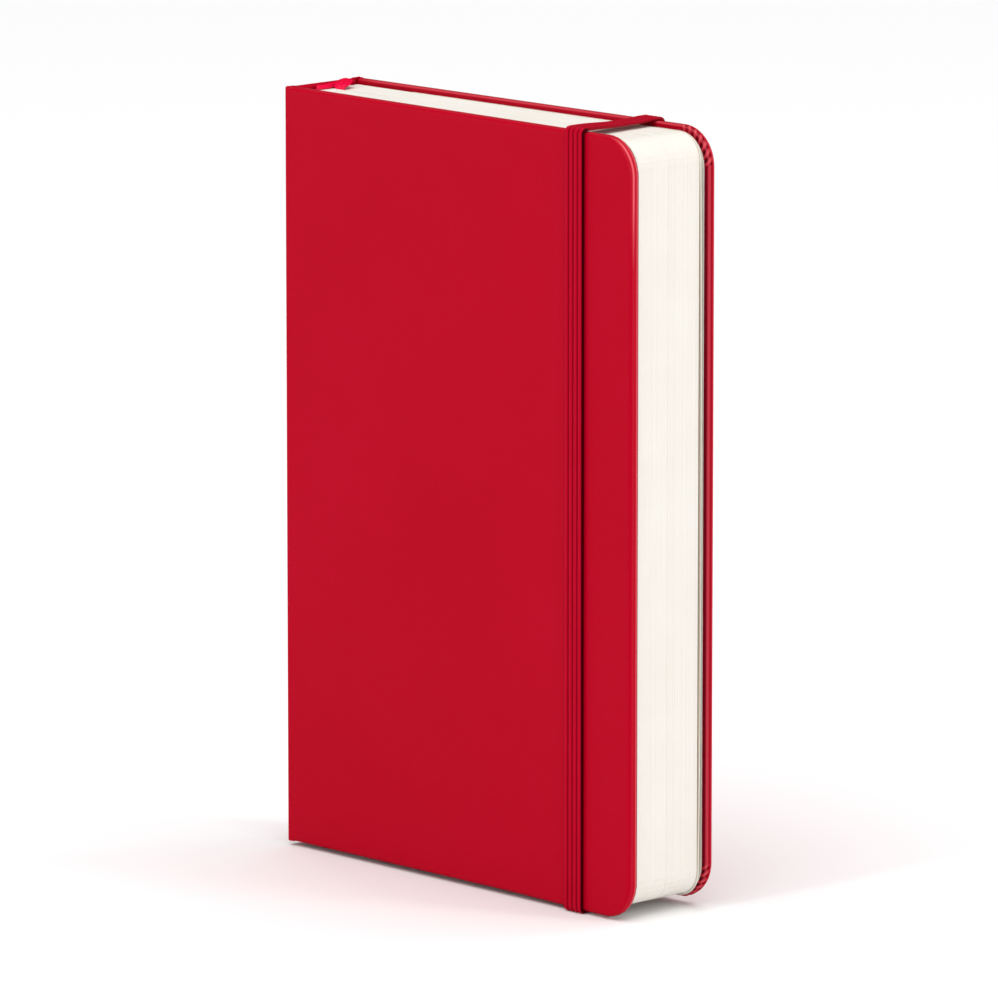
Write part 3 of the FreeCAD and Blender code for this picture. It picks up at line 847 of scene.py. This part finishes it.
# %% [markdown]
# ## Flyleaves and joint papers
# An endpaper is one folded sheet: half is pasted to the cover and half is free.  The free half is the
# flyleaf.  The rear flyleaf bows away from the block, because the pocket holds the back cover out.
# The strip that bridges the joint is a narrow fold, drawn as it lies with the cover shut.

# %% Flyleaves
def flyleaf(name, node, y, bow):
    """A free sheet beside the block: rounded corners, and a bow in the middle of its fore-edge."""
    x, low, high = leaf_outline()
    rows = 15
    points = []
    for row in range(rows):
        share = row / (rows - 1)
        z = low + (high - low) * share
        belly = math.sin(math.pi * share) ** 0.6 if 0 < share < 1 else 0.0
        out = max(y - BLOCK_Y, 0) * swell(x) + bow * belly * ease(x, 45.0, BLOCK_END)
        points.append(np.stack([x, np.full_like(x, y) + out, z], -1))
    piece = make_piece(name, np.concatenate(points), grid_faces(rows, len(x)))
    thicken(piece, 0.09, inwards=False)
    piece.data.materials.append(FLY_PAPER)
    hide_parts(node)
    return piece


fly_low, fly_high = span("front_flyleaf")
front_fly = flyleaf("front_flyleaf_sheet", "front_flyleaf", (fly_low.y + fly_high.y) / 2, 0.0)
fly_low, fly_high = span("back_flyleaf")
back_fly = flyleaf("back_flyleaf_sheet", "back_flyleaf", (fly_low.y + fly_high.y) / 2, 0.35)
for piece, body in ((front_fly, "front_flyleaf"), (back_fly, "back_flyleaf")):
    middle = span(body)[0].y
    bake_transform(piece)
print("flyleaves:", front_fly.name, back_fly.name)

# %% Joint papers
BLOCK_BACK = last_high.y
BLOCK_BACK_GAP = DEPTH - COVER - BLOCK_BACK - 0.08
STRIP_GAP = 0.03           # between the strip and what it lies on
STRIP_FOLD = 0.3           # round of the fold at the joint
STRIP_REACH = 9.0          # how far the strip lies on the cover


def joint_paper(name, back):
    """The folded strip between a pastedown and the block."""
    cover_y = COVER + STRIP_GAP
    block_y = BLOCK_Y - STRIP_GAP
    fold_x = board_low + 0.35
    near = [(x, cover_y) for x in np.linspace(STRIP_REACH, fold_x + STRIP_FOLD, 6)]
    turn = [(fold_x + STRIP_FOLD * (1 - math.sin(a)),
             (cover_y + block_y) / 2 - (block_y - cover_y) / 2 * math.cos(a))
            for a in np.radians(np.linspace(15, 165, 9))]
    far = [(x, block_y) for x in np.linspace(fold_x + STRIP_FOLD, GUTTER - 0.6, 6)]
    path = np.array(near + turn + far)
    if back:
        away = BLOCK_BACK_GAP * (path[:, 1] - block_y) / (cover_y - block_y)
        widening = 1 + (path[:, 0] - BACK_PIVOT.x) * math.tan(LEAN) / BLOCK_BACK_GAP
        path[:, 1] = BLOCK_BACK + STRIP_GAP + away * widening
    rows = []
    for z in np.linspace(signature_low.z + 0.3, signature_high.z - 0.3, 8):
        rows.append(np.column_stack([path, np.full(len(path), z)]))
    piece = make_piece(name, np.concatenate(rows), grid_faces(8, len(path)))
    thicken(piece, 0.04, inwards=False)
    piece.data.materials.append(ENDPAPER)
    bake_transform(piece)
    return piece


joint_paper("front_joint_paper", back=False)
joint_paper("back_joint_paper", back=True)
print("joint papers: folded at x %.2f" % (board_low + 0.35))

# %% [markdown]
# ## The elastic band
# The band is a flat strip with four round ribs, closed round the book.  A cross-section is carried
# along straight runs and round corners, drifts a little sideways and gets thinner where it is pulled.
# The loop that swings off the front cover is one piece and starts at the slots of the back cover; the
# two short ends in the slots are pieces of their own that ride on that cover.

# %% Path and cross-section
band_low, band_high = span("elastic_band")
BAND_X = (band_low.x + band_high.x) / 2
BAND_WIDTH = band_high.x - band_low.x
BAND_THICKNESS = 0.74
BAND_RIBS = 4
BAND_BEND = 0.75           # corner over the front cover's edge
BAND_TURN = 0.9            # corner over the back cover's edge
BAND_NECK = 0.62           # corner into a slot
BAND_DIP = 0.12            # how much lower the band lies on the back cover's edge
BAND_SAG = 0.16            # how far the band dips between the covers
BAND_DRIFT_FRONT = -0.85   # sideways place of the front run
BAND_DRIFT_BACK = -2.1     # sideways place where the band crosses the back cover's edge
SLACK_WIDTH = 1.03         # width of the front run, in shares of the usual width
PULLED_THICKNESS = 0.75    # thickness where the band is pulled tight, in shares of the usual thickness
END_GAP = 0.03             # between the loop and a fixed end
TAB_BEND = 0.4             # corner behind a slot
TAB_LENGTH = 9.6           # glued end under the pasted paper
BAND_FRONT = band_low.y + BAND_THICKNESS / 2
BAND_BACK = band_high.y - BAND_THICKNESS / 2
BAND_TOP = band_high.z - BAND_THICKNESS / 2
SLOT_Z = span("band_end_top")[1].z - BAND_THICKNESS / 2
TAB_Y = 0.5 * (span("band_end_top")[0].y + span("back_pastedown")[1].y) + BAND_THICKNESS / 2 + 0.2
BAND_CREST = BAND_TOP - BAND_DIP - BAND_TURN     # here the band lies flat on the back cover's face
BAND_JOIN = SLOT_Z + 1.3                         # here the swinging loop meets the fixed end


def arc(centre, radius, start, end, steps=9):
    """Points of an arc in the YZ plane between two angles in degrees, measured from +Y to +Z."""
    angles = np.radians(np.linspace(start, end, steps))
    return [(centre[0] + radius * math.cos(a), centre[1] + radius * math.sin(a)) for a in angles]


def run(start, end, step=6.0):
    """Points of a straight run, without its last one."""
    start, end = np.array(start, float), np.array(end, float)
    count = max(1, int(round(np.linalg.norm(end - start) / step)))
    return [tuple(start + (end - start) * share) for share in np.arange(count) / count]


def loop_path():
    """From the middle of the front run over the head to the start of the back run."""
    path = run((BAND_FRONT, HEIGHT / 2), (BAND_FRONT, BAND_TOP - BAND_BEND))
    path += arc((BAND_FRONT + BAND_BEND, BAND_TOP - BAND_BEND), BAND_BEND, 180, 90)
    head = np.linspace(BAND_FRONT + BAND_BEND, BAND_BACK - BAND_TURN, 26)[1:-1]
    dip = BAND_SAG * ease(head, 1.5, 11.0) * (1 - ease(head, 14.5, 18.6)) + BAND_DIP * ease(head, 1.5, 12.0)
    path += [(y, BAND_TOP - down) for y, down in zip(head, dip)]
    path += arc((BAND_BACK - BAND_TURN, BAND_CREST), BAND_TURN, 90, 0, 11)
    path += [(BAND_BACK, z) for z in np.linspace(BAND_CREST, BAND_JOIN, 14)[1:]]
    return np.array(path)


def stretch(y, z, is_end):
    """Sideways place, width and thickness of the band, which is pulled thin over the back edge."""
    if is_end:
        return 0.0, 1.0, PULLED_THICKNESS
    share = float(np.clip(y / BAND_BACK, 0, 1))
    thin = float(ease(y, 4.0, 12.0))
    aside = BAND_DRIFT_FRONT + (BAND_DRIFT_BACK - BAND_DRIFT_FRONT) * share
    if y > BAND_BACK - 0.01:
        aside *= float(ease(max(z, HEIGHT - z), BAND_JOIN, BAND_CREST))
    return aside, SLACK_WIDTH - (SLACK_WIDTH - 1) * thin, 1 - (1 - PULLED_THICKNESS) * thin


def end_path():
    """From the end of the loop down the back and through the slot to the glued tab."""
    path = run((BAND_BACK, BAND_JOIN - END_GAP), (BAND_BACK, SLOT_Z + BAND_NECK), 0.3)
    path += arc((BAND_BACK - BAND_NECK, SLOT_Z + BAND_NECK), BAND_NECK, 0, -90)
    path += run((BAND_BACK - BAND_NECK, SLOT_Z), (TAB_Y + TAB_BEND, SLOT_Z), 0.6)[1:]
    path += arc((TAB_Y + TAB_BEND, SLOT_Z - TAB_BEND), TAB_BEND, 90, 180, 6)
    path += run((TAB_Y, SLOT_Z - TAB_BEND), (TAB_Y, SLOT_Z - TAB_LENGTH), 3.0)[1:]
    path.append((TAB_Y, SLOT_Z - TAB_LENGTH))
    return np.array(path)


def band_section():
    """Ribbed cross-section: places across the band and heights above and below its middle."""
    across, height = [], []
    pitch = BAND_WIDTH / BAND_RIBS
    for rib in range(BAND_RIBS):
        for angle in np.radians(np.linspace(174, 6, 7)):
            across.append(-BAND_WIDTH / 2 + pitch * (rib + 0.5) + pitch / 2 * math.cos(angle))
            height.append(BAND_THICKNESS * (0.22 + 0.28 * math.sin(angle)))
    across, height = np.array(across), np.array(height)
    return np.concatenate([across, across[::-1]]), np.concatenate([height, -height[::-1]])


def set_strip_map(piece, values):
    """Store each point's place on the strip, in millimetres, as a UV map."""
    layer = piece.data.uv_layers.new(name="strip")
    index = np.empty(len(piece.data.loops), int)
    piece.data.loops.foreach_get("vertex_index", index)
    layer.data.foreach_set("uv", values[index].ravel())


def band_piece(name, path, flip):
    """A ribbed strip carried along a path in the YZ plane."""
    is_end = name.startswith("band_end")
    across, height = band_section()
    direction = np.gradient(path, axis=0)
    direction /= np.linalg.norm(direction, axis=1)[:, None]
    normal = np.stack([-direction[:, 1], direction[:, 0]], -1) * (-1 if flip else 1)
    travelled = np.concatenate([[0], np.cumsum(np.linalg.norm(np.diff(path, axis=0), axis=1))])
    points, strip = [], []
    for place, outward, length in zip(path, normal, travelled):
        aside, wide, thick = stretch(place[0], place[1], is_end)
        y = place[0] + outward[0] * height * thick
        z = place[1] + outward[1] * height * thick
        if is_end and place[0] < BAND_BACK - 1.0:
            y = y + across * math.tan(LEAN)
        points.append(np.stack([BAND_X + aside + across * wide, y, z], -1))
        strip.append(np.stack([across + BAND_WIDTH / 2, np.full_like(across, length)], -1))
    count = len(across)
    faces = grid_faces(len(path), count, close_columns=True)
    last = (len(path) - 1) * count
    faces.append(tuple(range(count)))
    faces.append(tuple(last + index for index in reversed(range(count))))
    piece = make_piece(name, np.concatenate(points), faces)
    set_strip_map(piece, np.concatenate(strip))
    weld(piece, 0.0001)
    piece.data.materials.append(ELASTIC)
    return piece


# %% Loop and ends
def mirror(path):
    """The same path at the tail."""
    return np.stack([path[:, 0], HEIGHT - path[:, 1]], -1)


upper = loop_path()
loop = np.concatenate([mirror(upper)[::-1], upper[1:]])
band_loop = band_piece("elastic_loop", loop, flip=False)
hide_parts("elastic_band")
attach(band_loop, "elastic_band")
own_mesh(band_loop)
band_top = band_piece("band_end_head", end_path(), flip=False)
band_bottom = band_piece("band_end_tail", mirror(end_path()), flip=True)
for piece, node in ((band_top, "band_end_top"), (band_bottom, "band_end_bottom")):
    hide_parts(node)
    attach(piece, "back_cover")
print("band: front run at y %.2f, back run at y %.2f" % (BAND_FRONT, BAND_BACK))

# %% [markdown]
# ## The marker ribbon
# The satin marker is glued to the back of the block, comes out at the head and is tucked between two
# gatherings, where it gathers into a few soft pleats.  It is a ruled surface: two edges are drawn as
# smooth lines, and rows of points run straight from one to the other before the pleats move them.

# %% Ribbon
KNOT_STEPS = 24            # points from each knot to the next
RIBBON_WIDTH = 5.5
RIBBON_WAVES = 3           # soft pleats across the ribbon
RIBBON_WAVE = 0.20         # how deep they are
RIBBON_Y = (span("signature_05")[1].y + span("signature_06")[0].y) / 2
RIBBON_TAIL = span("ribbon_marker")[0].z
edge_one = [(1.75, 5.4, 126), (1.8, 5.3, 132), (2.0, 4.6, 138.2), (2.9, 4.3, 139.2), (3.3, 5.4, 139.25),
            (3.4, 8.0, 139.25), (3.1, 10.0, 139.4), (2.4, 11.2, 139.8), (2.4, 10.9, 139.95),
            (2.8, 10.0, 139.8), (3.3, 9.3, 139.6), (3.7, RIBBON_Y, 139.3), (3.6, RIBBON_Y, 138.4),
            (3.2, RIBBON_Y, 135.5), (3.2, RIBBON_Y, 120), (3.2, RIBBON_Y, 70), (3.2, RIBBON_Y, RIBBON_TAIL)]
edge_two = [(1.75, 12.0, 126), (1.75, 12.1, 132), (1.7, 11.5, 137.4), (1.7, 7.6, 138.6), (2.0, 6.0, 139.5),
            (2.0, 8.4, 139.65), (1.9, 10.4, 139.85), (1.9, 12.0, 140.2), (2.8, 12.6, 140.4),
            (5.0, 12.0, 140.25), (6.3, 10.4, 139.9), (6.4, RIBBON_Y, 139.35), (7.6, RIBBON_Y, 138.2),
            (8.6, RIBBON_Y, 135.5), (8.7, RIBBON_Y, 120), (8.7, RIBBON_Y, 70), (8.7, RIBBON_Y, RIBBON_TAIL)]


def smooth_line(knots):
    """A Catmull-Rom curve through knots, with KNOT_STEPS points from each knot to the next."""
    knots = np.asarray(knots, float)
    padded = np.concatenate([[2 * knots[0] - knots[1]], knots, [2 * knots[-1] - knots[-2]]])
    samples = []
    for i in range(len(knots) - 1):
        a, b, c, d = padded[i:i + 4]
        for t in np.linspace(0, 1, KNOT_STEPS, endpoint=False):
            samples.append(0.5 * (2 * b + (c - a) * t + (2 * a - 5 * b + 4 * c - d) * t ** 2
                                  + (3 * b - a - 3 * c + d) * t ** 3))
    samples.append(knots[-1])
    return np.array(samples)


def ribbon_piece():
    """The marker from its glued root to its tail."""
    first = smooth_line(edge_one)
    second = smooth_line(edge_two)
    columns = 25
    share = np.linspace(0, 1, columns)
    points = first[:, None] * (1 - share[None, :, None]) + second[:, None] * share[None, :, None]
    along = np.gradient(points, axis=0)
    side = np.gradient(points, axis=1)
    normal = np.cross(along, side)
    normal /= np.maximum(np.linalg.norm(normal, axis=2), 1e-9)[..., None]
    place = np.arange(len(first)) / KNOT_STEPS
    folds = ease(place, 3.2, 4.2) * (1 - ease(place, 10.6, 12.0))
    wave = RIBBON_WAVE * np.cos(share * 2 * math.pi * RIBBON_WAVES)
    points = points + normal * (folds[:, None] * wave[None, :])[..., None]
    travelled = np.concatenate([[0], np.cumsum(np.linalg.norm(np.diff(first, axis=0), axis=1))])
    strip = np.stack(np.meshgrid(share * RIBBON_WIDTH, travelled), -1).reshape(-1, 2)
    piece = make_piece("satin_marker", points.reshape(-1, 3), grid_faces(len(first), columns))
    set_strip_map(piece, strip)
    thicken(piece, 0.07, inwards=False)
    piece.data.materials.append(SATIN)
    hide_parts("ribbon_marker")
    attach(piece, "book_block")
    return piece


ribbon = ribbon_piece()
print("ribbon:", len(ribbon.data.polygons), "faces")

# %% [markdown]
# ## Pocket gussets
# The pocket inside the back cover opens like a bellows.  Its two ends are closed by strips of cloth
# folded inwards once, so they lie flat between the pocket's sheets when it is shut.

# %% Gussets
panel_low, panel_high = span("pocket_panel")
PANEL_THICKNESS = 0.22


def gusset(name, node, up):
    """A V-folded strip between the pocket's back sheet and its panel."""
    low, high = span(node)
    deep = panel_low.y + PANEL_THICKNESS
    way = 1 if up else -1
    outer_z = (high.z if up else low.z) - 0.15 * way
    fold_z = (low.z if up else high.z) + 0.3 * way
    beside = fold_z + 0.2 * way
    halfway = (outer_z + fold_z) / 2
    xs = np.linspace(low.x + 0.1, high.x - 0.2, 24)
    profile = [(0.035, outer_z), (0.05, halfway), (0.09, beside), (0.13, fold_z), (0.17, beside),
               (0.21, halfway), (0.225, outer_z)]
    rows = [[(x, deep + level + (x - panel_low.x) * math.tan(LEAN), z) for x in xs] for level, z in profile]
    piece = make_piece(name, np.array(rows), grid_faces(len(rows), len(xs)))
    piece.data.materials.append(BOOK_CLOTH)
    thicken(piece, 0.03, inwards=False)
    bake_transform(piece)
    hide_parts(node)
    return piece


gusset("gusset_head", "pocket_gusset_top", True)
gusset("gusset_tail", "pocket_gusset_bottom", False)
print("gussets: two, each folded once")

# %% [markdown]
# ## Boards under the cover material
# The grey board fills each cover.  Its edge is rubbed round before covering, so a core that stays
# clear of the folded edge is enough; it rides with its cover and closes the shell from inside.

# %% Board cores
BOARD_CLEAR = 1.3          # between the board and the folded edge


def board_core(name, node, body, back):
    """A rounded plate inside a cover, clear of the folded edge."""
    radius = CORNER_RADIUS - BOARD_CLEAR
    angles = np.radians(np.linspace(0, 90, 10))
    low_x = board_low + 0.2
    high_x = WIDTH - BOARD_CLEAR
    x = np.concatenate([[low_x, 20, 40, 60], high_x - radius * (1 - np.sin(angles))])
    rise = np.concatenate([np.zeros(4), radius * (1 - np.cos(angles))])
    points = []
    for depth in (0.30, COVER - PAPER - 0.02):
        for z in (BOARD_CLEAR + rise, HEIGHT - BOARD_CLEAR - rise):
            y = np.full_like(x, DEPTH - depth if back else depth)
            px, py = lean_out(x, y) if back else (x, y)
            points.append(np.stack([px, py, z], -1))
    count = len(x)
    faces = []
    for i in range(count - 1):
        for base in (0, 2 * count):
            faces.append((base + i, base + i + 1, base + count + i + 1, base + count + i))
        for base in (0, count):
            faces.append((base + i, base + i + 1, base + 2 * count + i + 1, base + 2 * count + i))
    for i in (0, count - 1):
        faces.append((i, count + i, 3 * count + i, 2 * count + i))
    piece = make_piece(name, np.concatenate(points), faces, smooth=False)
    weld(piece)
    piece.data.materials.append(BOARD)
    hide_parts(node)
    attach(piece, body)
    return piece


board_core("front_board_core", "front_board", "front_cover", back=False)
board_core("back_board_core", "back_board", "back_cover", back=True)
print("boards: two, %.1f mm clear of the folded edges" % BOARD_CLEAR)

# %% [markdown]
# ## The pocket's front sheet
# The sheet that closes the pocket bows a little: its corners lie against the block and its middle
# leans on the cover, which opens a thin wedge of shade beside the turned-in corners.

# %% Pocket panel
PANEL_CORNER = 4.8
PANEL_BOW = 0.42


def pocket_sheet():
    """A folded paper sheet with rounded outer corners that bows along its fore-edge."""
    angles = np.radians(np.linspace(0, 90, 12))
    x = np.concatenate([np.linspace(panel_low.x, panel_high.x - PANEL_CORNER, 22)[:-1],
                        panel_high.x - PANEL_CORNER * (1 - np.sin(angles))])
    inset = np.concatenate([np.zeros(21), PANEL_CORNER * (1 - np.cos(angles))])
    rows = 33
    points = []
    for row in range(rows):
        share = row / (rows - 1)
        z = panel_low.z + inset + (panel_high.z - panel_low.z - 2 * inset) * share
        belly = math.sin(math.pi * share) ** 0.7 if 0 < share < 1 else 0.0
        plane = panel_low.y + PANEL_THICKNESS / 2 + (x - panel_low.x) * math.tan(LEAN)
        points.append(np.stack([x, plane - PANEL_BOW * (1 - belly) * ease(x, 50, panel_high.x), z], -1))
    piece = make_piece("pocket_front_sheet", np.concatenate(points), grid_faces(rows, len(x)))
    thicken(piece, PANEL_THICKNESS, inwards=False)
    piece.data.materials.append(ENDPAPER)
    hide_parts("pocket_panel")
    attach(piece, "pocket_panel")
    return piece


pocket_sheet()
print("pocket: its front sheet bows by %.2f mm" % PANEL_BOW)

# %% [markdown]
# ## Parts that stay as they are
# The spine stiffener with its lining, the pasted papers and the thread are already exact in the
# frame.  They only need their finishes.

# %% Finishes for the frame's own parts
FINISHES = {
    "spine_board": BOARD, "spine_lining": BOOK_CLOTH,
    "sewing_thread": THREAD, "front_pastedown": ENDPAPER, "back_pastedown": ENDPAPER,
    "pocket_back": ENDPAPER}
for node, finish in FINISHES.items():
    part = frame["nodes"][node]
    for material_slot in part.material_slots:
        material_slot.material = finish
print("finished:", ", ".join(sorted(FINISHES)))

# %% [markdown]
# ## Studio
# A pale seamless floor, a narrow key light in front, a broad weak one to the left, two behind that
# keep the leaves and the rear edges bright, and a wide soft sky.  Reflected rays see the floor and the
# surroundings darker, so the cover keeps its red.  The long lens stands far back, so the covers' edges
# stay nearly parallel.

# %% Floor, light and camera
scene = bpy.context.scene
scene.view_settings.view_transform = "Standard"


def strip_light(name, place, aim, width, height, power):
    """An upright soft light; places are in millimetres from the notebook's corner, sizes in metres."""
    data = bpy.data.lights.new(name, "AREA")
    data.shape = "RECTANGLE"
    data.size = width
    data.size_y = height
    data.energy = power
    lamp = bpy.data.objects.new(name, data)
    lamp.location = to_frame(*place)
    lamp.rotation_euler = (to_frame(*aim) - lamp.location).to_track_quat("-Z", "Y").to_euler()
    scene.collection.objects.link(lamp)


FLOOR_REACH = 6.0          # half the side of the floor, in metres
floor_mesh = bpy.data.meshes.new("studio_floor")
signs = ((-1, -1), (1, -1), (1, 1), (-1, 1))
floor_mesh.from_pydata([(FLOOR_REACH * x, FLOOR_REACH * y, 0) for x, y in signs], [], [(0, 1, 2, 3)])
floor = bpy.data.objects.new("studio_floor", floor_mesh)
scene.collection.objects.link(floor)
material, tree, shader, place = new_material("pale floor")
soft = noise(tree, place, 3.0)
seen = tree.nodes.new("ShaderNodeLightPath").outputs["Is Glossy Ray"]
pale = mix_colour(tree, soft, (0.955, 0.955, 0.955), (0.97, 0.97, 0.97))
feed(tree, shader, {"Base Color": mix_colour(tree, seen, pale, (0.03, 0.03, 0.03)), "Roughness": 0.9})
floor_mesh.materials.append(material)

world = bpy.data.worlds.new("studio")
world.use_nodes = True
background = world.node_tree.nodes["Background"]
rays = world.node_tree.nodes.new("ShaderNodeLightPath").outputs
level = remap(world.node_tree, rays["Is Camera Ray"], 0.0, 1.0, 0.33, 1.0)
level = remap(world.node_tree, rays["Is Glossy Ray"], 0.0, 1.0, level, 0.04)
feed(world.node_tree, background, {"Color": (1.0, 1.0, 1.0), "Strength": level})
scene.world = world

middle = (WIDTH / 2, DEPTH / 2, HEIGHT / 2)
strip_light("key", (60, -920, 430), middle, 0.07, 0.9, 2.4)
strip_light("left", (-800, -700, 300), middle, 0.5, 0.6, 0.5)
strip_light("fill", (900, 380, 350), middle, 0.2, 0.6, 2.5)
strip_light("rim", (380, 950, 330), middle, 0.14, 0.6, 1.2)
sun = bpy.data.lights.new("sky", "SUN")
sun.energy = 2.2
sun.angle = math.radians(80)
sky = bpy.data.objects.new("sky", sun)
sky.rotation_euler = (math.radians(8), math.radians(4), 0)
scene.collection.objects.link(sky)

AIM = (45.3, 10.4, 68.7)
EYE = (1293.1, -1179.0, 392.9)
camera_data = bpy.data.cameras.new("camera")
camera_data.lens = 351.4
camera_data.sensor_width = 36.0
camera_data.clip_end = 20.0
camera = bpy.data.objects.new("camera", camera_data)
camera.location = to_frame(*EYE)
camera.rotation_euler = (to_frame(*AIM) - camera.location).to_track_quat("-Z", "Y").to_euler()
scene.collection.objects.link(camera)
scene.camera = camera
print("studio: floor, four soft lights, a sky and the camera")
